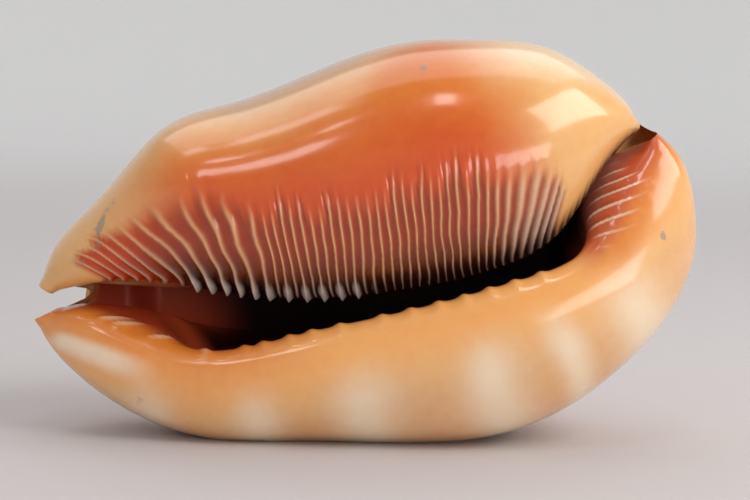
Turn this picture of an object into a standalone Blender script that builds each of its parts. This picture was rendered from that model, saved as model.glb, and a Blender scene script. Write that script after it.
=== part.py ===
"""Cowrie shell, lying on the flank of its outer lip with the slit to the front.

The shell is one curled sheet. Its thick lips roll in on both sides of a long
slit, the slit stays open at the front canal and at the rear canal, and the
sheet closes round one hollow body whorl. The solid is a loft: every rib is a
closed ring, the rib's outer line from lip to lip and its cavity line back,
and the ribs run from the front canal to the rear canal.

Own frame of the shell, in millimetres:
    u  along the shell, from the front canal to the rear
    w  across the base, from the outer lip up to the columellar side
    v  through the shell, from the base back to the dorsum
Row frame, in metres: X right, Y back, Z up, with the resting flat on Z = 0.
"""

import math

import bmesh
import bpy
import numpy as np
from mathutils import Matrix, Vector

MM = 0.001

# Driving dimensions
TILT = math.radians(9.4)  # the rear end lies higher than the front end
REST_CUT = 1.0            # depth of the flat spot that the shell lies on
FRONT_NOTCH = 7.0         # how far the dorsal wall stops short of the front tips
NOTCH_FADE = 0.40         # share of the slit over which that setback fades
RIM_ROUNDING = 0.05       # share of the slit over which the end rims thicken
CAVITY_SHARE = 0.86       # length of the cavity as a share of the slit's length

# Mesh of the loft
RIBS = 48
RING_POINTS = 80
END_CROWDING = 0.55       # how much closer the ribs stand at both ends
WELD = 0.00001

# Rails seen square to the base: share of the way along the slit, then u and w
COLUMELLAR_MARGIN = (
    (0.00, 1.2, 2.3), (0.05, 3.6, 6.7), (0.12, 9.4, 11.6), (0.22, 18.2, 18.9),
    (0.34, 28.5, 21.3), (0.46, 38.9, 23.6), (0.58, 49.8, 25.6), (0.70, 60.3, 24.9),
    (0.80, 68.8, 22.8), (0.88, 74.4, 18.7), (0.95, 78.1, 14.6), (1.00, 79.0, 12.0),
)
COLUMELLAR_LIP = (
    (0.00, 2.8, 1.0), (0.05, 5.3, 1.3), (0.12, 10.4, 1.4), (0.22, 19.4, -0.5),
    (0.34, 29.7, -3.5), (0.46, 40.0, -5.0), (0.58, 50.7, -5.0), (0.70, 60.4, -3.7),
    (0.80, 67.1, -0.5), (0.88, 71.6, 4.4), (0.95, 75.4, 8.6), (1.00, 78.6, 10.9),
)
OUTER_LIP = (
    (0.00, 2.7, -1.0), (0.05, 6.0, -1.1), (0.12, 11.6, -3.5), (0.22, 20.0, -7.1),
    (0.34, 30.0, -7.1), (0.46, 40.1, -6.0), (0.58, 50.7, -5.0), (0.70, 60.2, -3.7),
    (0.80, 68.0, -2.0), (0.88, 72.4, 2.4), (0.95, 76.4, 7.0), (1.00, 79.6, 9.6),
)
OUTER_MARGIN = (
    (0.00, 0.0, -1.9), (0.05, 1.6, -5.7), (0.12, 7.1, -12.5), (0.22, 18.0, -19.6),
    (0.34, 29.6, -22.1), (0.46, 40.3, -23.8), (0.58, 52.0, -25.0), (0.70, 64.1, -23.0),
    (0.80, 74.6, -17.0), (0.88, 81.8, -9.4), (0.95, 84.6, 1.2), (0.975, 83.8, 6.6),
    (1.00, 81.0, 10.4),
)

# Depths: share of the way along the slit, columellar base, outer lip, dorsum
DEPTHS = (
    (0.00, 10.0, 10.0, 14.0), (0.05, 7.5, 7.5, 19.0), (0.12, 5.0, 5.0, 25.0),
    (0.22, 2.5, 3.0, 32.5), (0.34, 1.0, 1.8, 38.0), (0.46, 0.2, 1.2, 41.0),
    (0.58, 0.0, 1.0, 42.0), (0.70, 0.8, 1.5, 40.0), (0.80, 3.0, 3.0, 35.0),
    (0.88, 6.0, 5.0, 29.0), (0.95, 9.5, 8.0, 23.5), (1.00, 12.0, 11.0, 18.5),
)

# The ring's outer line, from the outer lip's inner edge round the flank, the
# dorsum and the base to the columellar inner edge. Across is 0 at the slit and
# 1 at that side's margin, through is 0 on the base and 1 on the dorsum, and on
# the dorsal side across runs from -1 at the outer margin to 1 at the
# columellar margin. The second pair is the cavity wall behind the same place.
RING = (
    ("outer", 0.25, 0.23, 0.31, 0.26),
    ("outer", 0.12, 0.15, 0.37, 0.28),
    ("outer", 0.00, 0.06, 0.43, 0.28),
    ("outer", 0.16, -0.02, 0.51, 0.25),
    ("outer", 0.58, -0.02, 0.62, 0.22),
    ("outer", 0.93, 0.08, 0.74, 0.23),
    ("outer", 1.04, 0.31, 0.84, 0.37),
    ("dorsal", -0.99, 0.61, -0.86, 0.61),
    ("dorsal", -0.72, 0.94, -0.65, 0.86),
    ("dorsal", -0.25, 1.05, -0.23, 0.98),
    ("dorsal", 0.25, 1.05, 0.23, 0.98),
    ("dorsal", 0.72, 0.94, 0.65, 0.86),
    ("dorsal", 1.01, 0.66, 0.87, 0.63),
    ("columellar", 1.04, 0.38, 0.86, 0.42),
    ("columellar", 0.93, 0.13, 0.72, 0.33),
    ("columellar", 0.66, -0.01, 0.52, 0.32),
    ("columellar", 0.36, -0.03, 0.37, 0.35),
    ("columellar", 0.13, 0.05, 0.26, 0.37),
    ("columellar", -0.01, 0.17, 0.18, 0.37),
    ("columellar", 0.02, 0.29, 0.10, 0.35),
)


def on_rail(rows, place):
    """Values on the twice-smooth curve through the rows, at a place from 0 to 1."""
    rows = np.array(rows)
    knots = rows[:, 0]
    values = rows[:, 1:]
    gaps = np.diff(knots)
    count = len(knots)
    matrix = np.eye(count)
    turning = np.zeros_like(values)
    for i in range(1, count - 1):
        matrix[i, i - 1] = gaps[i - 1]
        matrix[i, i] = 2 * (gaps[i - 1] + gaps[i])
        matrix[i, i + 1] = gaps[i]
        slope_before = (values[i] - values[i - 1]) / gaps[i - 1]
        slope_after = (values[i + 1] - values[i]) / gaps[i]
        turning[i] = 6 * (slope_after - slope_before)
    bends = np.linalg.solve(matrix, turning)
    i = min(max(int(np.searchsorted(knots, place)) - 1, 0), count - 2)
    before = (knots[i + 1] - place) / gaps[i]
    after = 1 - before
    bow = (before ** 3 - before) * bends[i] + (after ** 3 - after) * bends[i + 1]
    return before * values[i] + after * values[i + 1] + bow * gaps[i] ** 2 / 6


def section(place):
    """A function that puts (side, across, through) into the section at a place."""
    columellar_margin = on_rail(COLUMELLAR_MARGIN, place)
    columellar_lip = on_rail(COLUMELLAR_LIP, place)
    outer_lip = on_rail(OUTER_LIP, place)
    outer_margin = on_rail(OUTER_MARGIN, place)
    columellar_base, outer_base, dorsum = on_rail(DEPTHS, place)
    setback = FRONT_NOTCH * max(0, 1 - place / NOTCH_FADE) ** 2

    def point(side, across, through):
        if side == "columellar":
            flat = columellar_lip + across * (columellar_margin - columellar_lip)
            base = columellar_base
        elif side == "outer":
            flat = outer_lip + across * (outer_margin - outer_lip)
            base = outer_base
        else:
            share = (1 + across) / 2
            flat = outer_margin + share * (columellar_margin - outer_margin)
            flat[0] += setback * (1 - min(abs(across), 1) ** 2)
            base = outer_base + share * (columellar_base - outer_base)
        return np.array((flat[0], flat[1], base + through * (dorsum - base)))

    return point


def wall_share(place):
    """Share of the wall's thickness, which rounds to none at both end rims."""
    inward = min(1, min(place, 1 - place) / RIM_ROUNDING)
    return math.sqrt(1 - (1 - inward) ** 2)


def rib_controls(place):
    """Control points of one rib's closed ring: outer line, then cavity line back."""
    share = wall_share(place)
    skin = section(place)
    wall = section(0.5 + (place - 0.5) * (1 - share * (1 - CAVITY_SHARE)))
    outer = [skin(side, across, through) for side, across, through, _, _ in RING]
    cavity = [wall(side, across, through) for side, _, _, across, through in RING]
    cavity = [o + share * (c - o) for o, c in zip(outer, cavity)]
    return np.array(outer + cavity[::-1])


def on_ring(controls, turn):
    """Point on the closed cubic B-spline over a ring's controls, turn from 0 to 1."""
    count = len(controls)
    # half a step back makes the outer and the cavity line each other's mirror
    steps = turn * count - 0.5
    first = math.floor(steps)
    t = steps - first
    weights = (
        (1 - t) ** 3 / 6,
        (3 * t ** 3 - 6 * t ** 2 + 4) / 6,
        (-3 * t ** 3 + 3 * t ** 2 + 3 * t + 1) / 6,
        t ** 3 / 6,
    )
    return sum(weight * controls[(first - 1 + i) % count] for i, weight in enumerate(weights))


def rib_place(share):
    """Where a rib stands on the slit, for its even share from 0 to 1."""
    crowded = 0.5 - 0.5 * math.cos(math.pi * share)
    return END_CROWDING * crowded + (1 - END_CROWDING) * share


def loft_shell():
    """The curled sheet as one closed mesh, in the row frame and in metres."""
    loft = bmesh.new()
    bmesh.ops.create_grid(loft, x_segments=RING_POINTS, y_segments=RIBS - 1, size=0.5)
    ribs = {}
    for vert in loft.verts:
        share = round(vert.co.y + 0.5, 6)
        if share not in ribs:
            ribs[share] = rib_controls(rib_place(share))
        u, w, v = on_ring(ribs[share], vert.co.x + 0.5)
        vert.co = Vector((u, v, w)) * MM
    # joins the ring's seam, and the outer to the cavity line at both end rims
    bmesh.ops.remove_doubles(loft, verts=loft.verts, dist=WELD)
    bmesh.ops.recalc_face_normals(loft, faces=loft.faces)
    return loft


def lay_down(loft):
    """Tilts the shell and cuts the flat spot that it rests on."""
    bmesh.ops.rotate(loft, verts=loft.verts, matrix=Matrix.Rotation(-TILT, 3, "Y"))
    lowest = min(vert.co.z for vert in loft.verts)
    bmesh.ops.translate(loft, verts=loft.verts, vec=(0, 0, -lowest - REST_CUT * MM))
    cut = bmesh.ops.bisect_plane(
        loft, geom=loft.verts[:] + loft.edges[:] + loft.faces[:],
        plane_co=(0, 0, 0), plane_no=(0, 0, 1), clear_inner=True,
    )
    rim = [item for item in cut["geom_cut"] if isinstance(item, bmesh.types.BMEdge)]
    bmesh.ops.edgeloop_fill(loft, edges=rim)
    bmesh.ops.recalc_face_normals(loft, faces=loft.faces)


def centre_on_footprint(loft):
    """Puts the origin under the middle of the shell's box."""
    for axis in (0, 1):
        places = [vert.co[axis] for vert in loft.verts]
        shift = Vector((0, 0, 0))
        shift[axis] = -(min(places) + max(places)) / 2
        bmesh.ops.translate(loft, verts=loft.verts, vec=shift)


def glazed_shell():
    """The smooth orange-tan glaze of the shell."""
    material = bpy.data.materials.new("shell_glaze")
    material.use_nodes = True
    shader = material.node_tree.nodes["Principled BSDF"]
    shader.inputs["Base Color"].default_value = (0.72, 0.33, 0.12, 1)
    shader.inputs["Roughness"].default_value = 0.22
    shader.inputs["Metallic"].default_value = 0
    return material


def main():
    for old in list(bpy.data.objects):
        bpy.data.objects.remove(old)
    collection = bpy.data.collections.new("cowrie")
    bpy.context.scene.collection.children.link(collection)
    loft = loft_shell()
    lay_down(loft)
    centre_on_footprint(loft)
    mesh = bpy.data.meshes.new("cowrie_shell")
    loft.to_mesh(mesh)
    loft.free()
    mesh.materials.append(glazed_shell())
    mesh.shade_smooth()
    mesh.set_sharp_from_angle(angle=math.radians(40))
    collection.objects.link(bpy.data.objects.new("cowrie_shell", mesh))


main()
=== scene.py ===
"""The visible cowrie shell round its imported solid, with its floor, lights and camera.

The shell is grown here from the same rails and the same ring as the solid, on
a far finer grid, so that the ribbed base, the knobs on the columellar edge,
the teeth on the outer lip and the folds at the rear canal are real relief.
"""

import math
from types import SimpleNamespace

import bmesh
import bpy
import numpy as np
from mathutils import Matrix, Vector, noise


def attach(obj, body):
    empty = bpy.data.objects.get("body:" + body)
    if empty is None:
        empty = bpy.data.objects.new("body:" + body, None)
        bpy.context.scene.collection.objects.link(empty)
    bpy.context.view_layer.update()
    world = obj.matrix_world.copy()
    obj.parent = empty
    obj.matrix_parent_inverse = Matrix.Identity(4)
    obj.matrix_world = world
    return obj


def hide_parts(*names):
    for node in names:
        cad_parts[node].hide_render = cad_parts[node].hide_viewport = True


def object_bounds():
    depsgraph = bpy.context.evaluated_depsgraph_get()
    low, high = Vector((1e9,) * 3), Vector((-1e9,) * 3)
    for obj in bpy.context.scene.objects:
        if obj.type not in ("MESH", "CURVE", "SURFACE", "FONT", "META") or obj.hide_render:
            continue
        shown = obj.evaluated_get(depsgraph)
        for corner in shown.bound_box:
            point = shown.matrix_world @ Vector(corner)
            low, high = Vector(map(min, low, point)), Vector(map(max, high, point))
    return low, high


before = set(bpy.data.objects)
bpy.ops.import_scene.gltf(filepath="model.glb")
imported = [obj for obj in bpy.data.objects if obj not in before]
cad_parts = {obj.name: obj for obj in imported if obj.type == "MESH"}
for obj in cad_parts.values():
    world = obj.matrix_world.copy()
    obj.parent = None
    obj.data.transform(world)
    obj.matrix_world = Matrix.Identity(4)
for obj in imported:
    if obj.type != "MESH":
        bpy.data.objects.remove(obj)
SOLID_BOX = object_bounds()

bl_info = {
    "name": "Cowrie Shell",
    "version": (1, 0, 0),
    "blender": (4, 5, 0),
    "location": "3D View > Sidebar > Cowrie",
    "description": "Grows a glossy ribbed cowrie shell and sets it on a pale floor",
    "category": "Add Mesh",
}

MM = 0.001

# The shell's own form, in millimetres, the same as the solid's
TILT = math.radians(9.4)
REST_CUT = 1.0
FRONT_NOTCH = 7.0
NOTCH_FADE = 0.40
RIM_ROUNDING = 0.05
CAVITY_SHARE = 0.86
WELD = 0.00001

COLUMELLAR_MARGIN = (
    (0.00, 1.2, 2.3), (0.05, 3.6, 6.7), (0.12, 9.4, 11.6), (0.22, 18.2, 18.9),
    (0.34, 28.5, 21.3), (0.46, 38.9, 23.6), (0.58, 49.8, 25.6), (0.70, 60.3, 24.9),
    (0.80, 68.8, 22.8), (0.88, 74.4, 18.7), (0.95, 78.1, 14.6), (1.00, 79.0, 12.0),
)
COLUMELLAR_LIP = (
    (0.00, 2.8, 1.0), (0.05, 5.3, 1.3), (0.12, 10.4, 1.4), (0.22, 19.4, -0.5),
    (0.34, 29.7, -3.5), (0.46, 40.0, -5.0), (0.58, 50.7, -5.0), (0.70, 60.4, -3.7),
    (0.80, 67.1, -0.5), (0.88, 71.6, 4.4), (0.95, 75.4, 8.6), (1.00, 78.6, 10.9),
)
OUTER_LIP = (
    (0.00, 2.7, -1.0), (0.05, 6.0, -1.1), (0.12, 11.6, -3.5), (0.22, 20.0, -7.1),
    (0.34, 30.0, -7.1), (0.46, 40.1, -6.0), (0.58, 50.7, -5.0), (0.70, 60.2, -3.7),
    (0.80, 68.0, -2.0), (0.88, 72.4, 2.4), (0.95, 76.4, 7.0), (1.00, 79.6, 9.6),
)
OUTER_MARGIN = (
    (0.00, 0.0, -1.9), (0.05, 1.6, -5.7), (0.12, 7.1, -12.5), (0.22, 18.0, -19.6),
    (0.34, 29.6, -22.1), (0.46, 40.3, -23.8), (0.58, 52.0, -25.0), (0.70, 64.1, -23.0),
    (0.80, 74.6, -17.0), (0.88, 81.8, -9.4), (0.95, 84.6, 1.2), (0.975, 83.8, 6.6),
    (1.00, 81.0, 10.4),
)
DEPTHS = (
    (0.00, 10.0, 10.0, 14.0), (0.05, 7.5, 7.5, 19.0), (0.12, 5.0, 5.0, 25.0),
    (0.22, 2.5, 3.0, 32.5), (0.34, 1.0, 1.8, 38.0), (0.46, 0.2, 1.2, 41.0),
    (0.58, 0.0, 1.0, 42.0), (0.70, 0.8, 1.5, 40.0), (0.80, 3.0, 3.0, 35.0),
    (0.88, 6.0, 5.0, 29.0), (0.95, 9.5, 8.0, 23.5), (1.00, 12.0, 11.0, 18.5),
)
RING = (
    ("outer", 0.25, 0.23, 0.31, 0.26),
    ("outer", 0.12, 0.15, 0.37, 0.28),
    ("outer", 0.00, 0.06, 0.43, 0.28),
    ("outer", 0.16, -0.02, 0.51, 0.25),
    ("outer", 0.58, -0.02, 0.62, 0.22),
    ("outer", 0.93, 0.08, 0.74, 0.23),
    ("outer", 1.04, 0.31, 0.84, 0.37),
    ("dorsal", -0.99, 0.61, -0.86, 0.61),
    ("dorsal", -0.72, 0.94, -0.65, 0.86),
    ("dorsal", -0.25, 1.05, -0.23, 0.98),
    ("dorsal", 0.25, 1.05, 0.23, 0.98),
    ("dorsal", 0.72, 0.94, 0.65, 0.86),
    ("dorsal", 1.01, 0.66, 0.87, 0.63),
    ("columellar", 1.04, 0.38, 0.86, 0.42),
    ("columellar", 0.93, 0.13, 0.72, 0.33),
    ("columellar", 0.66, -0.01, 0.52, 0.32),
    ("columellar", 0.36, -0.03, 0.37, 0.35),
    ("columellar", 0.13, 0.05, 0.26, 0.37),
    ("columellar", -0.01, 0.17, 0.18, 0.37),
    ("columellar", 0.02, 0.29, 0.10, 0.35),
)

# The fine grid: ribs along the shell, columns round each rib, and how far the ribs
# draw together at both ends and the columns at both lips
RIBS = 730
OUTER_COLUMNS = 108
CAVITY_COLUMNS = 27
COLUMNS = OUTER_COLUMNS + CAVITY_COLUMNS
OUTER_SHARE = OUTER_COLUMNS / COLUMNS
END_CROWDING = 0.15
LIP_CROWDING = 0.60
SHARP_ANGLE = math.radians(60)
SHORTEST_NORMAL = 1e-9

# Landmarks as turns round the ring: the outer line runs from 0 to 0.5, then the
# cavity line runs back to 1
OUTER_EDGE = 0.0675
COLUMELLAR_BEND = 0.345
COLUMELLAR_EDGE = 0.4525
CAVITY_MIDDLE = 0.75

# In what follows a fade has two limits, where a thing is absent and where it is full;
# a window has four, for a thing that fades in and then out again
COLUMELLAR_SIDE = (0.30, 0.34)
OUTER_SIDE = (0.20, 0.16)
OUTER_LINE = (0, 0.012, 0.488, 0.5)
PAST_LIPS = (0, 0.02)
BETWEEN_RIMS = (0, 0.02, 0.98, 1)

# The outer lip's inner face, which reaches further in than the solid's at both
# canals: across and through, for the first rows of the ring
FRONT_CANAL = (0.24, 0.15)
REAR_CANAL = (0.79, 0.88)
FRONT_SHELF = ((-0.16, 0.45), (-0.10, 0.28), (-0.02, 0.10))
REAR_SHELF = ((-0.36, 0.50), (-0.17, 0.28), (0.00, 0.10))
REAR_CAVITY = ((-0.20, 0.60), (0.08, 0.58), (0.28, 0.48))

# The cavity is drawn together to a line across and through, so that both canals are
# narrower than the solid's: how much, where, and that line
NARROWINGS = (
    (0.68, (0.04, 0.10, 0.12, 0.56), (-0.30, 0.62)),
    (0.82, (0.78, 0.90, 0.965, 1.0), (-0.12, 0.40)),
)

# The ribbed base: place on the slit, then the value there
SLIT_LENGTH = 86.0
RIDGE_SPACING = (
    (0.00, 1.50), (0.17, 1.55), (0.21, 1.95), (0.33, 1.95), (0.36, 1.06), (0.66, 1.06),
    (0.73, 1.60), (1.00, 1.80),
)
RIDGE_LEAN = (
    (0.00, -1.20), (0.13, -1.05), (0.165, -0.92), (0.20, -0.76), (0.23, -0.55), (0.28, -0.22),
    (0.36, 0.00), (0.50, 0.05), (0.62, 0.05), (0.69, 0.20), (0.76, 0.50), (0.85, 0.60),
)
RIDGE_TOP = (
    (0.00, 0.36), (0.07, 0.44), (0.13, 0.54), (0.20, 0.53), (0.34, 0.46), (0.48, 0.41),
    (0.62, 0.44), (0.72, 0.42), (0.78, 0.34), (0.84, 0.14), (1.00, 0.10),
)
RIDGE_WIDTH = (
    (0.00, 0.28), (0.16, 0.26), (0.27, 0.18), (0.64, 0.15), (0.74, 0.27), (1.00, 0.30),
)
RIDGE_DEEPENING = ((0.00, 1.3), (0.30, 1.2), (0.36, 0.85), (1.00, 0.9))
RIBBED_PLACES = (0.105, 0.125, 0.765, 0.80)
RIBBED_FROM_EDGE = (-3.5, -1.0)
RIDGE_END_FADE = 0.72
RIDGE_END_SPREAD = 0.10
RIDGE_END_SEED = 11
RIDGE_END_COUNT = 400

# How a ridge swings away from its foot on the slit: by the rise over the columellar
# edge and by its square, up to a highest rise, all in millimetres
SWING = 0.50
SWING_BOW = 0.05
SWING_TOP = 24
SWING_ROUNDS = 10
RIDGE_RULER = (-0.5, 1.5, 2001)

# Knobs on the columellar edge: where along the slit, and in millimetres where across it
KNOB_CHANGE = 0.345  # in front of here every ridge ends in a knob, behind it every second one
KNOB_PLACES = (0.222, 0.242, 0.46, 0.52)
KNOB_FROM_EDGE = (-3.0, -1.0, 0.0, 3.4)
KNOB_WIDTH = 0.25

# Teeth on the outer lip: where along the slit, and their form across the lip in
# millimetres from its edge, below 0 on the inner face
TEETH = (
    0.112, 0.132, 0.182, 0.236, 0.294, 0.322, 0.362, 0.396, 0.438, 0.497, 0.537, 0.577,
    0.616, 0.656, 0.696, 0.736,
)
TOOTH_WIDTH = 0.0085
TOOTH_ROOT = -2.6
TOOTH_FULL = -1.2
TOOTH_TIP = (1.4, -0.6)
TOOTH_MIDDLE = -1.5
TOOTH_HALF = 4
TOOTH_SLANT = 0.002
FRONT_TEETH_END = 0.20  # in front of here the teeth lie slanting on the canal's wall
FRONT_TOOTH_SLANT = -0.013
FRONT_TOOTH_GROWTH = 22

# Slanting folds on the outer lip at the rear canal, mostly in millimetres across it
FOLD_SPACING = 2.15
FOLD_WIDTH = 0.26
FOLD_PLACES = (0.83, 0.86, 0.93, 0.955)
FOLD_ROOT = (-4.5, -2.0)
FOLD_REACH = 4.4
FOLD_RAGGEDNESS = 2.0
FOLD_FADE = 3.5
FOLD_SLANT = 0.50
FOLD_SLANT_LIMITS = (-5, 6)
FOLD_WANDER = 0.45
FOLD_HEIGHT = 0.8

# Scars on the glaze: place, turn, radius in millimetres
SCARS = (
    (0.152, 0.372, 1.0), (0.143, 0.376, 1.2), (0.134, 0.381, 1.2), (0.127, 0.389, 1.2),
    (0.120, 0.397, 1.0), (0.085, 0.408, 1.3), (0.613, 0.362, 0.8), (0.163, 0.125, 1.4),
    (0.906, 0.114, 0.7),
)
SCAR_CORE = 0.3

# Pale bands round the flank: place and half width
PALE_BANDS = (
    (0.17, 0.030), (0.305, 0.030), (0.457, 0.042), (0.63, 0.038), (0.73, 0.020), (0.825, 0.036),
)
BAND_WANDER = 0.012

# Unevenness: the size of its features in millimetres, and its seed
RIDGE_DRIFT = (9.0, 1)
RIDGE_JITTER = (3.5, 2)
BROAD_WAVE = (13.0, 3)
SMALL_WAVE = (5.0, 4)
FOLD_DRIFT = (6.0, 7)
BAND_DRIFT = (12.0, 8)
FOLD_ENDS = (4.0, 9)
SEED_SHIFT = (7.3, 3.1, 5.7)

# Strengths of the unevenness, as shares of a ridge's spacing and in millimetres
DRIFT_STRENGTH = 0.4
JITTER_STRENGTH = 0.22
JITTER_LOSS = 0.17  # the ridges run straighter at the rear
STRAIGHTER_REAR = (0.66, 0.74)
BROAD_STRENGTH = 0.17
SMALL_STRENGTH = 0.03
SINK = 0.16  # keeps the waves' tops under the solid's surface

PIECE = "cowrie_shell_surface"

# What the mesh tells the glaze about each of its points
MARKS = (
    "along", "girth", "reach", "lip_depth", "outer_depth", "inside", "phase", "ribbed",
    "knob", "tooth", "fold_phase", "folded", "scar", "band",
)
REACH_KEPT = (-1, 3)
LIP_DEPTH_KEPT = (-20, 40)
OUTER_DEPTH_KEPT = (-20, 60)

# The glaze and the floor: scales of their noise in features per metre, and their gloss
CLOUD_SCALE = 45
MOTTLE_SCALE = 130
SPOT_SCALE = 210
GRAIN_SCALE = 700
SPECK_SCALE = 300
GLAZE_IOR = 1.53
GLAZE_ROUGHNESS = 0.20
COAT_WEIGHT = 0.6
COAT_ROUGHNESS = 0.09
BUMP_STRENGTH = 0.35
BUMP_DEPTH = 0.00012
FLOOR_ROUGHNESS = 0.7
WALL_FADE = (0.25, 1.1)


def on_rail(rows, place):
    """Values on the twice-smooth curve through the rows, at a place from 0 to 1."""
    rows = np.array(rows)
    knots = rows[:, 0]
    values = rows[:, 1:]
    gaps = np.diff(knots)
    count = len(knots)
    matrix = np.eye(count)
    turning = np.zeros_like(values)
    for i in range(1, count - 1):
        matrix[i, i - 1] = gaps[i - 1]
        matrix[i, i] = 2 * (gaps[i - 1] + gaps[i])
        matrix[i, i + 1] = gaps[i]
        slope_before = (values[i] - values[i - 1]) / gaps[i - 1]
        slope_after = (values[i + 1] - values[i]) / gaps[i]
        turning[i] = 6 * (slope_after - slope_before)
    bends = np.linalg.solve(matrix, turning)
    i = min(max(int(np.searchsorted(knots, place)) - 1, 0), count - 2)
    before = (knots[i + 1] - place) / gaps[i]
    after = 1 - before
    bow = (before ** 3 - before) * bends[i] + (after ** 3 - after) * bends[i + 1]
    return before * values[i] + after * values[i + 1] + bow * gaps[i] ** 2 / 6


def section(place):
    """A function that puts (side, across, through) into the section at a place."""
    columellar_margin = on_rail(COLUMELLAR_MARGIN, place)
    columellar_lip = on_rail(COLUMELLAR_LIP, place)
    outer_lip = on_rail(OUTER_LIP, place)
    outer_margin = on_rail(OUTER_MARGIN, place)
    columellar_base, outer_base, dorsum = on_rail(DEPTHS, place)
    setback = FRONT_NOTCH * max(0, 1 - place / NOTCH_FADE) ** 2

    def point(side, across, through):
        if side == "columellar":
            flat = columellar_lip + across * (columellar_margin - columellar_lip)
            base = columellar_base
        elif side == "outer":
            flat = outer_lip + across * (outer_margin - outer_lip)
            base = outer_base
        else:
            share = (1 + across) / 2
            flat = outer_margin + share * (columellar_margin - outer_margin)
            flat[0] += setback * (1 - min(abs(across), 1) ** 2)
            base = outer_base + share * (columellar_base - outer_base)
        return np.array((flat[0], flat[1], base + through * (dorsum - base)))

    return point


def wall_share(place):
    """Share of the wall's thickness, which rounds to none at both end rims."""
    inward = min(1, min(place, 1 - place) / RIM_ROUNDING)
    return math.sqrt(1 - (1 - inward) ** 2)


def rib_controls(place):
    """Control points of one rib's closed ring: outer line, then cavity line back."""
    share = wall_share(place)
    skin = section(place)
    wall = section(0.5 + (place - 0.5) * (1 - share * (1 - CAVITY_SHARE)))
    outer = [skin(side, across, through) for side, across, through in lip_rows(place)]
    cavity = [wall(side, across, through) for side, across, through in cavity_rows(place)]
    for amount, places, line in NARROWINGS:
        narrow = amount * window(places, place)
        canal = wall("outer", *line)
        cavity = [c + narrow * (canal - c) for c in cavity]
    cavity = [o + share * (c - o) for o, c in zip(outer, cavity)]
    return np.array(outer + cavity[::-1])


def lip_rows(place):
    """The ring's outer line at a place, with the inner face of the outer lip widened."""
    rows = [[side, across, through] for side, across, through, _, _ in RING]
    draw_first_rows(rows, FRONT_SHELF, smooth_step(*FRONT_CANAL, place))
    draw_first_rows(rows, REAR_SHELF, smooth_step(*REAR_CANAL, place))
    return rows


def cavity_rows(place):
    """The ring's cavity line at a place, which follows the widened lip at the rear."""
    rows = [[side, across, through] for side, _, _, across, through in RING]
    draw_first_rows(rows, REAR_CAVITY, smooth_step(*REAR_CANAL, place))
    return rows


def draw_first_rows(rows, targets, share):
    """Moves the first rows by a share towards the targets' across and through."""
    for row, target in zip(rows, targets):
        for i in (0, 1):
            row[i + 1] += share * (target[i] - row[i + 1])


def ring_weights(turns):
    """Weights of the ring's controls at each turn, for a closed cubic B-spline."""
    count = 2 * len(RING)
    weights = np.zeros((len(turns), count))
    for row, turn in enumerate(turns):
        # half a step back makes the outer and the cavity line each other's mirror
        steps = turn * count - 0.5
        first = math.floor(steps)
        t = steps - first
        pulls = (
            (1 - t) ** 3 / 6,
            (3 * t ** 3 - 6 * t ** 2 + 4) / 6,
            (-3 * t ** 3 + 3 * t ** 2 + 3 * t + 1) / 6,
            t ** 3 / 6,
        )
        for i, pull in enumerate(pulls):
            weights[row, (first - 1 + i) % count] += pull
    return weights


def rib_place(share):
    """Where a rib stands on the slit, for its even share from 0 to 1."""
    crowded = 0.5 - 0.5 * math.cos(math.pi * share)
    return END_CROWDING * crowded + (1 - END_CROWDING) * share


def column_turn(share):
    """Turn of a column: outer line first, then the cavity line, both close at the lips."""

    def crowded(even):
        return even - LIP_CROWDING * math.sin(math.tau * even) / math.tau

    if share <= OUTER_SHARE:
        return crowded(share / OUTER_SHARE) / 2
    return 1 - crowded((1 - share) / (1 - OUTER_SHARE)) / 2


def smooth_step(low, high, values):
    """0 below low, 1 above high, and a smooth rise between; low may be the larger."""
    share = np.clip((values - low) / (high - low), 0, 1)
    return share * share * (3 - 2 * share)


def window(limits, values):
    """0 outside the four limits, 1 between the middle two, and smooth between."""
    start, full, fading, end = limits
    return smooth_step(start, full, values) * smooth_step(end, fading, values)


def station(rows, places):
    """Values between the stations of a short table of place and value."""
    rows = np.array(rows)
    return np.interp(places, rows[:, 0], rows[:, 1])


def unevenness(points, size, seed):
    """Smooth noise from -1 to 1 over the points, with features of that size."""
    flat = points.reshape(-1, 3) / size + seed * np.array(SEED_SHIFT)
    values = [noise.noise(Vector(point)) for point in flat]
    return np.array(values).reshape(points.shape[:-1])


def bumps(phase, width):
    """Round bumps, one for each whole step of the phase."""
    return np.exp(-((phase - np.floor(phase) - 0.5) / width) ** 2)


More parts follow.
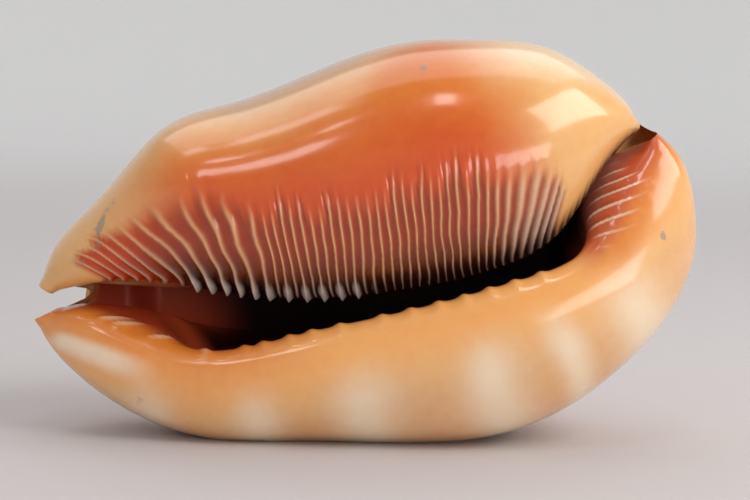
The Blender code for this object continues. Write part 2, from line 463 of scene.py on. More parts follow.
class Skin:
    """The shell's fine skin as a grid of points, and what lies where on it."""

    def __init__(self):
        turns = [column_turn(i / COLUMNS) for i in range(COLUMNS + 1)]
        places = [rib_place(i / (RIBS - 1)) for i in range(RIBS)]
        weights = ring_weights(turns)
        self.points = np.array([weights @ rib_controls(place) for place in places])
        self.turns = np.array(turns)[None, :] * np.ones((RIBS, 1))
        self.places = np.array(places)[:, None] * np.ones((1, COLUMNS + 1))
        self.measure_round()
        self.mark_sides()
        self.find_normals()

    def measure_round(self):
        """Distances round each rib from the two lip edges, in millimetres."""
        steps = np.linalg.norm(np.diff(self.points, axis=1), axis=2)
        run = np.concatenate((np.zeros((RIBS, 1)), np.cumsum(steps, axis=1)), axis=1)

        def at(turn):
            return np.array([np.interp(turn, self.turns[0], row) for row in run])[:, None]

        self.from_columella = at(COLUMELLAR_EDGE) - run
        self.reach = self.from_columella / (at(COLUMELLAR_EDGE) - at(COLUMELLAR_BEND))
        # the cavity's second half is nearer to the outer lip the other way round
        from_seam = np.where(self.turns > CAVITY_MIDDLE, run - run[:, -1:], run)
        self.from_outer = from_seam - at(OUTER_EDGE)

    def mark_sides(self):
        """Masks of the skin's sides, and the ring's controls counted round each rib."""
        mirrored = np.where(self.turns <= 0.5, self.turns, 1 - self.turns)
        self.girth = mirrored * 2 * len(RING) - 0.5
        self.between_rims = window(BETWEEN_RIMS, self.places)
        past_lips = np.minimum(self.turns - 0.5, 1 - self.turns)
        self.inside = smooth_step(*PAST_LIPS, past_lips) * self.between_rims
        # the relief fades out where the skin meets the cavity line, so that the seam closes
        self.outside = window(OUTER_LINE, self.turns)
        self.columellar = self.outside * smooth_step(*COLUMELLAR_SIDE, self.turns)
        self.outer = self.outside * smooth_step(*OUTER_SIDE, self.turns)

    def find_normals(self):
        """Unit normals that point out of the wall."""
        along = np.gradient(self.points, axis=0)
        wrapped = np.concatenate((self.points[:, -2:-1], self.points, self.points[:, 1:2]), axis=1)
        round_rib = wrapped[:, 2:] - wrapped[:, :-2]
        normals = np.cross(round_rib, along)
        lengths = np.linalg.norm(normals, axis=2, keepdims=True)
        normals /= np.maximum(lengths, SHORTEST_NORMAL)
        middle = normals[RIBS // 2, OUTER_COLUMNS // 2]
        if middle[2] < 0:
            normals = -normals
        self.normals = normals

    def ridge_phase(self):
        """How many base ridges and knobs stand before each point, and the ridge's foot.

        A ridge is at each half of its phase.
        """
        rear = smooth_step(*STRAIGHTER_REAR, self.places)
        wander = unevenness(self.points, *RIDGE_DRIFT) * DRIFT_STRENGTH
        jitter = JITTER_STRENGTH - JITTER_LOSS * rear
        wander += unevenness(self.points, *RIDGE_JITTER) * jitter
        rise = np.clip(self.from_columella, 0, SWING_TOP)
        swing = (SWING * rise + SWING_BOW * rise ** 2) / SLIT_LENGTH
        foot = self.places
        for _ in range(SWING_ROUNDS):
            foot = (foot + self.places - station(RIDGE_LEAN, foot) * swing) / 2
        ruler = np.linspace(*RIDGE_RULER)
        density = SLIT_LENGTH / station(RIDGE_SPACING, ruler)
        steps = (density[1:] + density[:-1]) / 2 * np.diff(ruler)
        count = np.concatenate(((0,), np.cumsum(steps)))
        change = math.floor(np.interp(KNOB_CHANGE, ruler, count)) + 0.5
        phase = np.interp(foot, ruler, count) + wander
        knob_phase = np.where(phase < change, phase, change + (phase - change) / 2)
        return phase, knob_phase, foot

    def ribbed_part(self, phase, foot):
        """Mask of the ribbed base; each ridge ends a little higher or lower."""
        draws = np.random.default_rng(RIDGE_END_SEED).uniform(-1, 1, RIDGE_END_COUNT)
        own_end = draws[np.floor(phase).astype(int) % RIDGE_END_COUNT]
        top = station(RIDGE_TOP, self.places) * (1 + RIDGE_END_SPREAD * own_end)
        ribbed = self.columellar * smooth_step(top, top * RIDGE_END_FADE, self.reach)
        ribbed *= smooth_step(*RIBBED_FROM_EDGE, self.from_columella)
        ribbed *= window(RIBBED_PLACES, foot)
        return ribbed

    def knobs(self, knob_phase):
        """Mask of the knobs on the columellar edge."""
        knob = self.columellar * bumps(knob_phase, KNOB_WIDTH)
        knob *= window(KNOB_FROM_EDGE, self.from_columella)
        knob *= window(KNOB_PLACES, self.places)
        return knob

    def teeth(self):
        """Mask of the teeth on the outer lip."""
        from_middle = np.clip(self.from_outer - TOOTH_MIDDLE, -TOOTH_HALF, TOOTH_HALF)
        tooth = np.zeros_like(self.places)
        for place in TEETH:
            root = TOOTH_ROOT - FRONT_TOOTH_GROWTH * max(0, FRONT_TEETH_END - place)
            tip = smooth_step(root, TOOTH_FULL, self.from_outer)
            tip *= smooth_step(*TOOTH_TIP, self.from_outer)
            slant = TOOTH_SLANT if place > FRONT_TEETH_END else FRONT_TOOTH_SLANT
            aside = self.places - (place + slant * from_middle)
            tooth = np.maximum(tooth, tip * np.exp(-(aside / TOOTH_WIDTH) ** 2))
        return tooth * self.outer

    def folds(self):
        """Phase of the folds at the rear canal, and the mask of where they are."""
        phase = self.places * SLIT_LENGTH / FOLD_SPACING
        phase += FOLD_WANDER * unevenness(self.points, *FOLD_DRIFT)
        phase -= np.clip(self.from_outer, *FOLD_SLANT_LIMITS) * FOLD_SLANT
        reach = FOLD_REACH + FOLD_RAGGEDNESS * unevenness(self.points, *FOLD_ENDS)
        folded = smooth_step(*FOLD_ROOT, self.from_outer)
        folded *= smooth_step(reach, reach - FOLD_FADE, self.from_outer) * self.outer
        folded *= window(FOLD_PLACES, self.places)
        return phase, folded

    def scars(self):
        """Mask of the worn marks on the glaze."""
        scar = np.zeros_like(self.places)
        for place, turn, radius in SCARS:
            row = int(np.argmin(np.abs(self.places[:, 0] - place)))
            column = int(np.argmin(np.abs(self.turns[0] - turn)))
            away = np.linalg.norm(self.points - self.points[row, column], axis=2)
            worn = smooth_step(radius, radius * SCAR_CORE, away)
            scar = np.maximum(scar, self.outside * worn)
        return scar

    def pale_bands(self):
        """Strength of the pale bands that cross the flank and the dorsum."""
        place = self.places + BAND_WANDER * unevenness(self.points, *BAND_DRIFT)
        band = np.zeros_like(place)
        for middle, half_width in PALE_BANDS:
            band = np.maximum(band, np.exp(-((place - middle) / half_width) ** 2))
        return band

    def raise_relief(self, sizes):
        """Moves the points along their normals, and gives the values of the MARKS."""
        phase, knob_phase, foot = self.ridge_phase()
        ribbed = self.ribbed_part(phase, foot)
        crest = bumps(phase, station(RIDGE_WIDTH, self.places))
        depth = sizes.ridge_depth * station(RIDGE_DEEPENING, self.places)
        knob = self.knobs(knob_phase)
        tooth = self.teeth()
        fold_phase, folded = self.folds()
        fold = bumps(fold_phase, FOLD_WIDTH) * folded
        wave = unevenness(self.points, *BROAD_WAVE) * BROAD_STRENGTH
        wave += unevenness(self.points, *SMALL_WAVE) * SMALL_STRENGTH
        scar = self.scars()

        height = -depth * ribbed * (1 - crest)
        height += sizes.knob_height * knob
        height += sizes.tooth_height * tooth
        height += sizes.tooth_height * FOLD_HEIGHT * fold
        height += (wave - SINK) * self.outside
        height -= sizes.skin_gap * self.outside
        height *= self.between_rims
        self.points = self.points + self.normals * height[..., None]
        values = (
            self.places, self.girth, np.clip(self.reach, *REACH_KEPT),
            np.clip(self.from_columella, *LIP_DEPTH_KEPT),
            np.clip(self.from_outer, *OUTER_DEPTH_KEPT),
            self.inside, phase, ribbed, knob, tooth, fold_phase, folded, scar,
            self.pale_bands(),
        )
        return dict(zip(MARKS, values))


def grow_mesh(sizes):
    """The fine shell as one closed mesh that lies as the solid does, in metres."""
    skin = Skin()
    marks = skin.raise_relief(sizes)
    loft = bmesh.new()
    bmesh.ops.create_grid(loft, x_segments=COLUMNS, y_segments=RIBS - 1, size=0.5)
    layers = {name: loft.verts.layers.float.new(name) for name in MARKS}
    seam = []
    for vert in loft.verts:
        column = round((vert.co.x + 0.5) * COLUMNS)
        row = round((vert.co.y + 0.5) * (RIBS - 1))
        u, w, v = skin.points[row, column]
        vert.co = Vector((u, v, w)) * MM
        for name, layer in layers.items():
            vert[layer] = marks[name][row, column]
        if column in (0, COLUMNS) or row in (0, RIBS - 1):
            seam.append(vert)
    bmesh.ops.remove_doubles(loft, verts=seam, dist=WELD)
    # the cavity line has fewer columns, so both end rims have narrow gaps left to close
    rims = [edge for edge in loft.edges if edge.is_boundary]
    bmesh.ops.holes_fill(loft, edges=rims, sides=0)
    bmesh.ops.dissolve_degenerate(loft, edges=loft.edges, dist=WELD / 10)
    bmesh.ops.recalc_face_normals(loft, faces=loft.faces)
    lay_down(loft)
    centre_on_footprint(loft)
    mesh = bpy.data.meshes.new(PIECE)
    loft.to_mesh(mesh)
    loft.free()
    mesh.shade_smooth()
    mesh.set_sharp_from_angle(angle=SHARP_ANGLE)
    return mesh


def lay_down(loft):
    """Tilts the shell and cuts the flat spot that it rests on."""
    bmesh.ops.rotate(loft, verts=loft.verts, matrix=Matrix.Rotation(-TILT, 3, "Y"))
    lowest = min(vert.co.z for vert in loft.verts)
    bmesh.ops.translate(loft, verts=loft.verts, vec=(0, 0, -lowest - REST_CUT * MM))
    cut = bmesh.ops.bisect_plane(
        loft, geom=loft.verts[:] + loft.edges[:] + loft.faces[:],
        plane_co=(0, 0, 0), plane_no=(0, 0, 1), clear_inner=True,
    )
    rim = [item for item in cut["geom_cut"] if isinstance(item, bmesh.types.BMEdge)]
    bmesh.ops.edgeloop_fill(loft, edges=rim)
    bmesh.ops.recalc_face_normals(loft, faces=loft.faces)


def centre_on_footprint(loft):
    """Puts the shell's box where the solid's box is, seen from above."""
    middle = (SOLID_BOX[0] + SOLID_BOX[1]) / 2
    for axis in (0, 1):
        places = [vert.co[axis] for vert in loft.verts]
        shift = Vector((0, 0, 0))
        shift[axis] = middle[axis] - (min(places) + max(places)) / 2
        bmesh.ops.translate(loft, verts=loft.verts, vec=shift)


def screen(red, green, blue):
    """A colour given as it shows on a screen, 0 to 255, as Blender's linear one."""
    channels = []
    for level in (red, green, blue):
        share = level / 255
        linear = share / 12.92 if share <= 0.04045 else ((share + 0.055) / 1.055) ** 2.4
        channels.append(linear)
    return tuple(channels)


class Value:
    """What a shader socket carries, for sums written in Python."""

    def __init__(self, bench, socket):
        self.bench = bench
        self.socket = socket

    def math(self, operation, *values):
        numbered = dict(enumerate(values))
        return self.bench.add("ShaderNodeMath", {"operation": operation}, numbered)

    def __add__(self, other):
        return self.math("ADD", self, other)

    def __radd__(self, other):
        return self.math("ADD", other, self)

    def __sub__(self, other):
        return self.math("SUBTRACT", self, other)

    def __rsub__(self, other):
        return self.math("SUBTRACT", other, self)

    def __mul__(self, other):
        return self.math("MULTIPLY", self, other)

    def __rmul__(self, other):
        return self.math("MULTIPLY", other, self)

    def __truediv__(self, other):
        return self.math("DIVIDE", self, other)

    def power(self, other):
        return self.math("POWER", self, other)

    def exponent(self):
        return self.math("EXPONENT", self)

    def most(self, other):
        return self.math("MAXIMUM", self, other)

    def fraction(self):
        return self.math("FRACT", self)

    def rise(self, low, high):
        """0 below low, 1 above high, smooth between."""
        return self.bench.add(
            "ShaderNodeMapRange", {"interpolation_type": "SMOOTHSTEP"},
            {"Value": self, "From Min": low, "From Max": high},
        )

    def fall(self, low, high):
        """1 below low, 0 above high, smooth between."""
        return 1 - self.rise(low, high)

    def window(self, start, full, fading, end):
        """0 outside the four limits, 1 between the middle two, smooth between."""
        return self.rise(start, full) * self.fall(fading, end)


class Bench:
    """The node tree of one material, and the one method that adds nodes to it."""

    def __init__(self, material):
        material.use_nodes = True
        self.tree = material.node_tree
        self.shader = self.tree.nodes["Principled BSDF"]

    def add(self, kind, settings=None, values=None, output=0):
        node = self.tree.nodes.new(kind)
        for name, setting in (settings or {}).items():
            setattr(node, name, setting)
        for name, value in (values or {}).items():
            self.feed(node.inputs[name], value)
        return Value(self, node.outputs[output])

    def feed(self, socket, value):
        if isinstance(value, Value):
            self.tree.links.new(value.socket, socket)
        elif hasattr(value, "__len__") and socket.type == "RGBA":
            socket.default_value = (*value[:3], 1)
        else:
            socket.default_value = value

    def surface(self, values):
        """Feeds the shader's own inputs, by name."""
        for name, value in values.items():
            self.feed(self.shader.inputs[name], value)

    def attribute(self, name):
        return self.add("ShaderNodeAttribute", {"attribute_name": name}, output="Fac")

    def places(self):
        return self.add("ShaderNodeTexCoord", output="Object")

    def grain(self, places, scale, detail, roughness=0.5):
        """Smooth noise from 0 to 1 round 0.5; scale is features per metre."""
        return self.add(
            "ShaderNodeTexNoise", None,
            {"Vector": places, "Scale": scale, "Detail": detail, "Roughness": roughness},
        )

    def bump(self, height, strength, distance):
        """A normal tipped by fine relief; the distance is in metres."""
        return self.add(
            "ShaderNodeBump", None,
            {"Strength": strength, "Distance": distance, "Height": height},
        )

    def mix(self, share, first, second, blend="MIX"):
        """The second colour over the first, by a share from 0 to 1."""
        # inputs 6 and 7 and output 2 are this node's colour sockets
        return self.add(
            "ShaderNodeMix", {"data_type": "RGBA", "blend_type": blend},
            {0: share, 6: first, 7: second}, output=2,
        )

    def layers(self, colour, *coats):
        """Coats laid over a colour in turn, each a share and a colour."""
        for share, coat in coats:
            colour = self.mix(share, colour, coat)
        return colour


class ShellSizes(bpy.types.PropertyGroup):
    """Sizes of the relief on the shell."""

    ridge_depth: bpy.props.FloatProperty(
        name="Ridge depth",
        description="Depth of the valleys between the base ridges, in millimetres",
        default=0.34, min=0, soft_max=1,
    )
    knob_height: bpy.props.FloatProperty(
        name="Knob height",
        description="Height of the knobs on the columellar edge, in millimetres",
        default=0.70, min=0, soft_max=1.5,
    )
    tooth_height: bpy.props.FloatProperty(
        name="Tooth height", description="Height of the teeth on the outer lip, in millimetres",
        default=0.34, min=0, soft_max=1.5,
    )
    skin_gap: bpy.props.FloatProperty(
        name="Skin gap", description="How far the fine skin lies inside the solid, in millimetres",
        default=0.03, min=0, soft_max=0.5,
    )


def colour_property(name, description, default):
    """A colour that the user can change, given as it shows on a screen."""
    return bpy.props.FloatVectorProperty(
        name=name, description=description, default=screen(*default),
        subtype="COLOR", size=3, min=0, max=1,
    )


class ShellColours(bpy.types.PropertyGroup):
    """Colours of the shell's glaze."""

    tan: colour_property("Tan", "Margins of the shell", (240, 182, 114))
    cream: colour_property("Cream", "Pale bands and blotches", (255, 236, 208))
    orange: colour_property("Orange", "Upper base, next to the ribs", (226, 122, 34))
    ember: colour_property("Ember", "Most saturated part of the base", (218, 70, 6))
    lip: colour_property("Lip", "Face of the outer lip", (252, 178, 100))
    lilac: colour_property("Lilac", "Cool tint on the upper margin", (196, 150, 130))
    blush: colour_property("Blush", "Between the pale bands, low on the flank", (222, 160, 124))
    throat: colour_property("Throat", "Inner wall of the front canal", (204, 80, 48))
    # painted light: paler than this deep, unlit inner wall would show, so that it looks lit
    cove: colour_property("Cove", "Inner wall of the rear canal", (190, 112, 92))
    valley: colour_property("Valley", "Between the ridges", (166, 58, 10))
    # painted shade: the valley and crest colours darkened for where the ribbed base curls in under
    # the slit
    shaded_valley: colour_property("Low valley", "Between the ridges, near the slit", (38, 16, 9))
    crest: colour_property("Crest", "Crests of the ridges", (234, 170, 116))
    shaded_crest: colour_property("Low crest", "Crests of the ridges, near the slit", (196, 160, 138))
    # painted shade: near black, for the shade deep in the cavity and the canals
    knob: colour_property("Knob", "Knobs on the columellar edge", (206, 196, 186))
    hollow: colour_property("Hollow", "Wall of the hollow behind the slit", (40, 14, 8))
    scar: colour_property("Scar", "Worn grey marks on the glaze", (150, 138, 124))


def ridge_crests(marks):
    """1 on the crests of the ridges, 0 in the valleys between them."""
    width = 0.13 + marks.along.rise(0.64, 0.76) * 0.18
    off_crest = (marks.phase.fraction() - 0.5) / width
    return (off_crest.power(2) * -1).exponent()


def rib_glaze(bench, marks, colours, crest):
    """The ribs: saturated valleys and pale crests, both darkened near the slit by painted shade.
    """
    along = marks.along
    # painted shade: low grows towards the slit, where the ribs turn in under the edge and fall
    # into shade
    low = (marks.lip_depth + marks.flutter * 3).fall(0.5, 8.5 - along.fall(0.10, 0.22) * 4)
    red_front = (along + marks.sway * 0.1).fall(0.12, 0.25) * 0.75
    grey_rear = along.rise(0.64, 0.74) * 0.25
    valley = bench.layers(colours.valley, (low, colours.shaded_valley), (red_front, colours.ember))
    ridge = bench.layers(colours.crest, (low, colours.shaded_crest), (grey_rear, colours.knob))
    return bench.mix(crest, valley, ridge)


def columellar_glaze(bench, marks, colours, crest):
    """Columellar side, from the upper margin over the ribs down to the knobs."""
    along = marks.along
    lip_depth = marks.lip_depth
    height = marks.reach + marks.sway * 0.35 + marks.flutter * 0.12
    middle_part = (along + marks.sway * 0.15).window(0.10, 0.30, 0.64, 0.80)
    lift = along.window(0.50, 0.62, 0.68, 0.80) * 0.32
    warm = (height - lift).fall(0.55, 1.02) * middle_part
    hot = height.fall(0.38, 0.74) * middle_part * 0.85
    cool = height.rise(0.80, 1.10) * along.window(0.22, 0.34, 0.50, 0.62) * 0.6
    pale = (along + marks.sway * 0.2).rise(0.62, 0.80) * height.rise(0.62, 0.95) * 0.5
    # painted shade: the columellar edge darkened where it turns in over the slit, less on the
    # crests
    shaded_edge = lip_depth.fall(-0.5, 3.0) * along.rise(0.40, 0.52) * (1 - crest * 0.5)
    shaded_edge = shaded_edge.most(lip_depth.fall(-2.0, -0.2) * along.rise(0.19, 0.26))
    knob_top = marks.knob.rise(0.15, 0.85) * 0.85
    return bench.layers(
        colours.tan,
        (warm, colours.orange),
        (hot, colours.ember),
        (cool, colours.lilac),
        (pale, colours.cream),
        (marks.ribbed, rib_glaze(bench, marks, colours, crest)),
        (shaded_edge, colours.shaded_valley),
        (knob_top, colours.knob),
    )


def outer_glaze(bench, marks, colours):
    """Outer lip, the canals' walls under it, and the lower flank, with painted shade deep in both
    canals and a painted highlight on the front of the lip.
    """
    along = marks.along
    depth = marks.outer_depth
    down = depth + marks.sway * 3 + marks.flutter * 1.5
    flank = down.rise(4, 11)
    blush = down.rise(8.5, 12.5) * (1 - marks.band) * 0.35
    pale_band = (marks.band * 0.85 + marks.flutter * 0.4 + 0.08) * down.rise(3.5, 11.0) * 0.85
    warm = down.fall(-0.5, 8.0) * along.fall(0.26, 0.46) * 0.85
    front = along.fall(0.13, 0.31)
    front_wall = (depth + front * 0.8).fall(-2.4, 0.4) * 0.9
    # painted shade: darker deeper down the front canal's wall
    front_shade = (depth + front * 9).fall(-6.5, -2.0)
    # painted highlight: a cream streak on the front of the outer lip where the glaze would reflect
    # a lamp
    painted_highlight = depth.window(3.0, 4.6, 5.2, 7.5) * along.window(0.03, 0.06, 0.11, 0.19) * 0.8
    halo = down.fall(4.0, 9.0) * along.rise(0.80, 0.87) * 0.75
    fold_gap = depth.fall(0.5, 4.5) * along.rise(0.78, 0.84) * 0.9
    # painted light: the rear canal's wall takes the paler cove colour to stand in for light
    rear_wall = depth.fall(-3.0, 0.5) * along.rise(0.80, 0.86) * 0.85
    # painted shade: darker deeper down the rear canal's wall
    rear_shade = depth.fall(-9.0, -4.0) * along.rise(0.78, 0.84)
    tooth_top = marks.tooth.rise(0.30, 0.90) * along.fall(0.18, 0.30) * 0.45
    fold_line = (marks.fold_phase.fraction() - 0.5).power(2).fall(0.001, 0.022)
    fold_top = marks.folded * fold_line * (marks.flutter + 0.75) * 0.9
    return bench.layers(
        colours.lip,
        (flank, colours.tan),
        (blush, colours.blush),
        (pale_band, colours.cream),
        (warm, colours.orange),
        (front_wall, colours.throat),
        (front_shade, colours.hollow),
        (painted_highlight, colours.cream),
        (halo, colours.orange),
        (fold_gap, colours.throat),
        (rear_wall, colours.cove),
        (rear_shade, colours.hollow),
        (tooth_top, colours.cream),
        (fold_top, colours.cream),
    )


def dorsal_glaze(bench, marks, colours, where):
    """The back: broad clouds, pale bands and soft brown spots."""
    clouds = marks.broad.rise(0.35, 0.65)
    bands = (marks.band + marks.flutter).rise(0.2, 0.9) * 0.6
    spots = bench.grain(where, SPOT_SCALE, detail=3, roughness=0.6).rise(0.54, 0.70) * 0.45
    return bench.layers(
        colours.orange, (clouds, colours.tan), (bands, colours.cream), (spots, colours.valley),
    )


def hollow_glaze(bench, marks, colours):
    """The cavity's wall: near black with painted shade, and lighter towards both ends: its own red
    towards the front canal, painted light at the rear.
    """
    swayed = marks.along + marks.sway * 0.1
    # partly the outside's tan carried round the rear rim, partly painted light on the weakly lit
    # inner wall
    rear_rim_light = marks.along.rise(0.94, 0.985) * 0.8
    return bench.layers(
        bench.mix(swayed.fall(0.13, 0.25), colours.hollow, colours.throat),
        # painted light: the paler cove colour towards the rear canal
        (swayed.rise(0.84, 0.95), colours.cove),
        (rear_rim_light, colours.tan),
    )


def glaze(colours):
    """The shell's glossy glaze, coloured by where it lies on the shell."""
    material = bpy.data.materials.new("cowrie_glaze")
    bench = Bench(material)
    where = bench.places()
    marks = SimpleNamespace(**{name: bench.attribute(name) for name in MARKS})
    marks.broad = bench.grain(where, CLOUD_SCALE, detail=2)
    marks.sway = marks.broad - 0.5
    marks.flutter = bench.grain(where, MOTTLE_SCALE, detail=4, roughness=0.55) - 0.5
    fine = bench.grain(where, GRAIN_SCALE, detail=4, roughness=0.6)
    crest = ridge_crests(marks)

    swayed_girth = marks.girth + marks.sway * 1.2
    on_back = swayed_girth.rise(6.0, 7.4)
    on_columella = swayed_girth.rise(10.8, 12.4)
    ragged = marks.scar * 0.55 + marks.flutter * 1.6 + (fine - 0.5) * 2.4
    worn = ragged.rise(0.28, 0.70) * marks.scar.rise(0.02, 0.3)
    colour = bench.layers(
        outer_glaze(bench, marks, colours),
        (on_back, dorsal_glaze(bench, marks, colours, where)),
        (on_columella, columellar_glaze(bench, marks, colours, crest)),
        (marks.inside, hollow_glaze(bench, marks, colours)),
        (worn * 0.75, colours.scar),
    )
    pits = fine * 0.06 + crest * marks.ribbed * 0.5 + worn * fine * 0.6
    bench.surface({
        "Base Color": bench.mix(0.22, colour, fine, blend="SOFT_LIGHT"),
        "Roughness": GLAZE_ROUGHNESS + marks.flutter * 0.08 + worn * 0.45 + marks.inside * 0.3,
        "IOR": GLAZE_IOR,
        "Coat Weight": COAT_WEIGHT - (marks.inside * 0.55).most(marks.ribbed * 0.35),
        "Coat Roughness": COAT_ROUGHNESS,
        "Normal": bench.bump(pits, BUMP_STRENGTH, BUMP_DEPTH),
    })
    return material


class COWRIE_OT_shell(bpy.types.Operator):
    """Grow the glazed shell round its solid"""

    bl_idname = "cowrie.shell"
    bl_label = "Grow Shell"

    def execute(self, context):
        mesh = grow_mesh(context.scene.cowrie_sizes)
        mesh.materials.append(glaze(context.scene.cowrie_colours))
        shell = bpy.data.objects.new(PIECE, mesh)
        context.scene.collection.objects.link(shell)
        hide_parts("cowrie_shell")
        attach(shell, "root")
        return {"FINISHED"}


class StageSettings(bpy.types.PropertyGroup):
    """Floor, light and camera of the stage."""

    floor: colour_property("Floor", "Pale floor round the shell", (204, 198, 198))
    wall: colour_property("Wall", "Far rise of the floor", (250, 249, 248))
    floor_radius: bpy.props.FloatProperty(
        name="Floor radius", description="Radius of the flat floor", default=0.9, unit="LENGTH",
    )
    rise: bpy.props.FloatProperty(
        name="Rise", description="Height of the floor's upturned edge", default=0.8, unit="LENGTH",
    )
    lens: bpy.props.FloatProperty(
        name="Lens", description="Focal length of the camera", default=100, unit="CAMERA",
    )
    elevation: bpy.props.FloatProperty(
        name="Elevation", description="Height of the camera over the horizon",
        default=math.radians(5.0), subtype="ANGLE",
    )
    roll: bpy.props.FloatProperty(
        name="Roll", description="Turn of the camera about its own axis",
        default=math.radians(1.4), subtype="ANGLE",
    )
    view_width: bpy.props.FloatProperty(
        name="View width", description="Width that the camera takes in at the shell",
        default=0.0954, unit="LENGTH",
    )


# The floor: a disc at the middle, then rings that end in an upturned edge
FLOOR_SIDES = 96
FLOOR_START = 0.02
FLOOR_BEND = 0.35
BEND_STEPS = 14


def floor_mesh(settings):
    """A round floor that turns up far from the shell on every side."""
    radius = settings.floor_radius
    rings = [(radius, 0.0)]
    for i in range(1, BEND_STEPS + 1):
        angle = math.pi / 2 * i / BEND_STEPS
        reach = radius + FLOOR_BEND * math.sin(angle)
        rings.append((reach, FLOOR_BEND * (1 - math.cos(angle))))
    rings.append((radius + FLOOR_BEND, settings.rise))
    dish = bmesh.new()
    bmesh.ops.create_circle(dish, cap_ends=False, radius=FLOOR_START, segments=FLOOR_SIDES)
    bmesh.ops.holes_fill(dish, edges=dish.edges[:], sides=0)
    edges = [edge for edge in dish.edges if edge.is_boundary]
    reached = FLOOR_START
    for reach, height in rings:
        grown = bmesh.ops.extrude_edge_only(dish, edges=edges)
        verts = [item for item in grown["geom"] if isinstance(item, bmesh.types.BMVert)]
        edges = [item for item in grown["geom"] if isinstance(item, bmesh.types.BMEdge)]
        factor = reach / reached
        for vert in verts:
            vert.co.x *= factor
            vert.co.y *= factor
            vert.co.z = height
        reached = reach
    bmesh.ops.recalc_face_normals(dish, faces=dish.faces)
    mesh = bpy.data.meshes.new("floor")
    dish.to_mesh(mesh)
    dish.free()
    mesh.shade_smooth()
    return mesh


def matt_paper(settings):
    """Matt floor material, paler far from the shell."""
    material = bpy.data.materials.new("matt_paper")
    bench = Bench(material)
    where = bench.places()
    speck = bench.grain(where, SPECK_SCALE, detail=2)
    length = bench.add("ShaderNodeVectorMath", {"operation": "LENGTH"}, {0: where}, output="Value")
    far = length.rise(*WALL_FADE)
    tone = bench.mix(far, settings.floor, settings.wall)
    tone = bench.mix(0.04, tone, speck, blend="SOFT_LIGHT")
    bench.surface({"Base Color": tone, "Roughness": FLOOR_ROUGHNESS})
    return material


def make_floor(settings):
    """Lays the floor under the shell."""
    mesh = floor_mesh(settings)
    mesh.materials.append(matt_paper(settings))
    piece = bpy.data.objects.new("floor", mesh)
    bpy.context.scene.collection.objects.link(piece)


# Soft boxes, all aimed at the shell: name, place, width, height, power, tint
SOFT_BOXES = (
    ("window", (0.45, -0.17, 0.42), 0.50, 0.32, 2.3, (1.0, 0.98, 0.95)),
    ("low_window", (0.35, -0.54, 0.12), 0.32, 0.15, 0.60, (1.0, 0.97, 0.94)),
    ("left_window", (-0.27, -0.05, 0.58), 0.08, 0.09, 0.07, (0.99, 0.99, 1.0)),
    ("small_window", (-0.24, -0.37, 0.47), 0.06, 0.08, 0.09, (0.99, 0.99, 1.0)),
    ("third_window", (-0.22, -0.25, 0.55), 0.03, 0.04, 0.03, (0.99, 0.99, 1.0)),
    ("middle_window", (0.0, -0.27, 0.60), 0.07, 0.11, 0.16, (1.0, 0.99, 0.98)),
    ("overhead", (0.0, 0.42, 0.95), 1.30, 0.90, 3.7, (1.0, 1.0, 1.0)),
)
SKY_TINT = (0.95, 0.97, 1.0, 1)
SKY_STRENGTH = 0.34

# The point that the lights and the camera aim at lies this far behind the near side
AIM_DEPTH = 0.015
# How far the camera is moved aside and up after that, in view widths
CAMERA_SHIFT = (0.0107, -0.0200, 0)


def make_lights(target):
    """Soft boxes round the shell and a dim even sky."""
    for name, place, width, height, power, tint in SOFT_BOXES:
        light = bpy.data.lights.new(name, "AREA")
        light.shape = "RECTANGLE"
        light.size = width
        light.size_y = height
        light.energy = power
        light.color = tint
        lamp = bpy.data.objects.new(name, light)
        lamp.location = place
        lamp.rotation_euler = (target - Vector(place)).to_track_quat("-Z", "Y").to_euler()
        bpy.context.scene.collection.objects.link(lamp)
    world = bpy.data.worlds.new("sky")
    world.use_nodes = True
    sky = world.node_tree.nodes["Background"]
    sky.inputs["Color"].default_value = SKY_TINT
    sky.inputs["Strength"].default_value = SKY_STRENGTH
    bpy.context.scene.world = world


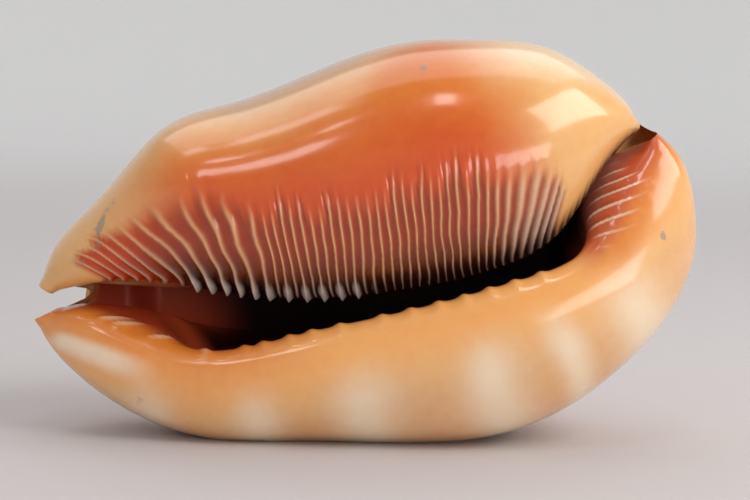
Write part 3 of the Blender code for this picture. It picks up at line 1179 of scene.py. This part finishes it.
def make_camera(settings, target):
    """Looks along the shell's slit side from a little above it."""
    camera = bpy.data.cameras.new("camera")
    camera.lens = settings.lens
    away = Vector((0, -math.cos(settings.elevation), math.sin(settings.elevation)))
    aim = (-away).to_track_quat("-Z", "Y").to_matrix()
    aim = aim @ Matrix.Rotation(settings.roll, 3, "Z")
    distance = settings.lens / camera.sensor_width * settings.view_width
    shift = Vector(CAMERA_SHIFT) * settings.view_width
    viewer = bpy.data.objects.new("camera", camera)
    bpy.context.scene.collection.objects.link(viewer)
    place = target + away * distance + aim @ shift
    viewer.matrix_world = Matrix.Translation(place) @ aim.to_4x4()
    bpy.context.scene.camera = viewer


class COWRIE_OT_stage(bpy.types.Operator):
    """Set the floor, the lights and the camera round the shell"""

    bl_idname = "cowrie.stage"
    bl_label = "Set Stage"

    def execute(self, context):
        settings = context.scene.cowrie_stage
        low, high = SOLID_BOX
        target = (low + high) / 2
        target.y = low.y + AIM_DEPTH
        make_floor(settings)
        make_lights(target)
        make_camera(settings, target)
        context.scene.view_settings.view_transform = "Standard"
        return {"FINISHED"}


class COWRIE_PT_panel(bpy.types.Panel):
    """Lists the steps that make the shell and its stage"""

    bl_label = "Cowrie"
    bl_idname = "COWRIE_PT_panel"
    bl_space_type = "VIEW_3D"
    bl_region_type = "UI"
    bl_category = "Cowrie"

    def draw(self, context):
        layout = self.layout
        scene = context.scene
        for group, operator in (
            (scene.cowrie_sizes, COWRIE_OT_shell), (scene.cowrie_colours, None),
            (scene.cowrie_stage, COWRIE_OT_stage),
        ):
            box = layout.box()
            for name in group.__annotations__:
                box.prop(group, name)
            if operator:
                box.operator(operator.bl_idname)


CLASSES = (
    ShellSizes, ShellColours, StageSettings, COWRIE_OT_shell, COWRIE_OT_stage, COWRIE_PT_panel,
)


def register():
    for item in CLASSES:
        bpy.utils.register_class(item)
    bpy.types.Scene.cowrie_sizes = bpy.props.PointerProperty(type=ShellSizes)
    bpy.types.Scene.cowrie_colours = bpy.props.PointerProperty(type=ShellColours)
    bpy.types.Scene.cowrie_stage = bpy.props.PointerProperty(type=StageSettings)


def unregister():
    del bpy.types.Scene.cowrie_stage
    del bpy.types.Scene.cowrie_colours
    del bpy.types.Scene.cowrie_sizes
    for item in reversed(CLASSES):
        bpy.utils.unregister_class(item)


def main():
    register()
    bpy.ops.cowrie.shell()
    bpy.ops.cowrie.stage()


if __name__ == "__main__":
    main()
